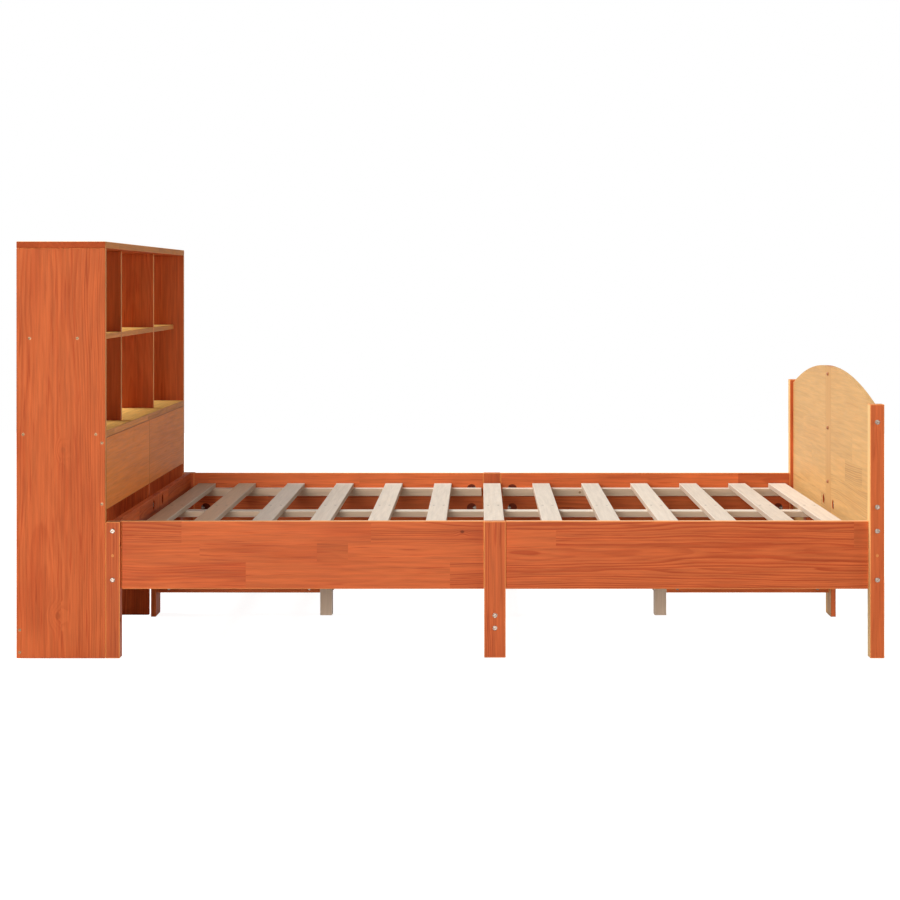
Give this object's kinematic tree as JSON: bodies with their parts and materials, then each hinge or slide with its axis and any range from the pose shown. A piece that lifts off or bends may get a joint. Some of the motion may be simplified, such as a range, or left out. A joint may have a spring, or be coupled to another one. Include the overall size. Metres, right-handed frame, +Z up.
{
  "type": "bookcase headboard bed",
  "caption": "Slatted wooden bed frame with an open bookcase as headboard and a low arched footboard.",
  "frame": {"origin": "on the floor, under the centre of the bounding box", "axes": "+X from the bookcase to the foot, +Y to the right as seen from the foot looking at the bookcase, +Z up"},
  "size_m": [2.2946, 1.464, 1.1],
  "materials": {
    "stained_pine": "pine boards, red-brown stain, satin varnish",
    "footboard_pine": "wide pine boards, the same stain over paler wood, satin varnish",
    "raw_pine": "planed pine, no finish",
    "zinc_steel": "bright zinc plate",
    "wooden_pin": "turned wood, end grain"
  },
  "bodies": {
    "root": {"beam_cleats": "stained_pine", "case_side_left": "stained_pine", "case_side_right": "stained_pine", "case_top": "stained_pine", "centre_beam_foot": "raw_pine", "centre_beam_head": "raw_pine", "centre_post": "raw_pine", "cross_beam": "stained_pine", "divider_left": "stained_pine", "divider_right": "stained_pine", "dowels": "wooden_pin", "foot_arch_left": "footboard_pine", "foot_arch_right": "footboard_pine", "foot_post_left": "stained_pine", "foot_post_right": "stained_pine", "foot_rail_left": "footboard_pine", "foot_rail_right": "footboard_pine", "foot_stile": "footboard_pine", "frame_bolts": "zinc_steel", "front_panel_left": "stained_pine", "front_panel_right": "stained_pine", "head_mid_leg": "stained_pine", "head_post_left": "stained_pine", "head_post_right": "stained_pine", "head_rail_left": "stained_pine", "head_rail_right": "stained_pine", "lower_shelf": "stained_pine", "mid_post_left": "stained_pine", "mid_post_right": "stained_pine", "middle_shelf_centre": "stained_pine", "middle_shelf_left": "stained_pine", "middle_shelf_right": "stained_pine", "nuts": "zinc_steel", "panel_screws": "zinc_steel", "partition": "stained_pine", "rear_rail": "stained_pine", "side_rail_left_foot": "stained_pine", "side_rail_left_head": "stained_pine", "side_rail_right_foot": "stained_pine", "side_rail_right_head": "stained_pine", "slat_01": "raw_pine", "slat_02": "raw_pine", "slat_03": "raw_pine", "slat_04": "raw_pine", "slat_05": "raw_pine", "slat_06": "raw_pine", "slat_07": "raw_pine", "slat_08": "raw_pine", "slat_09": "raw_pine", "slat_10": "raw_pine", "slat_11": "raw_pine", "slat_12": "raw_pine", "slat_13": "raw_pine", "slat_ledgers": "raw_pine", "slat_screws": "zinc_steel", "stretcher_foot": "stained_pine", "stretcher_head": "stained_pine", "support_leg_foot": "raw_pine", "support_leg_head": "raw_pine"}
  },
  "joints": []
}
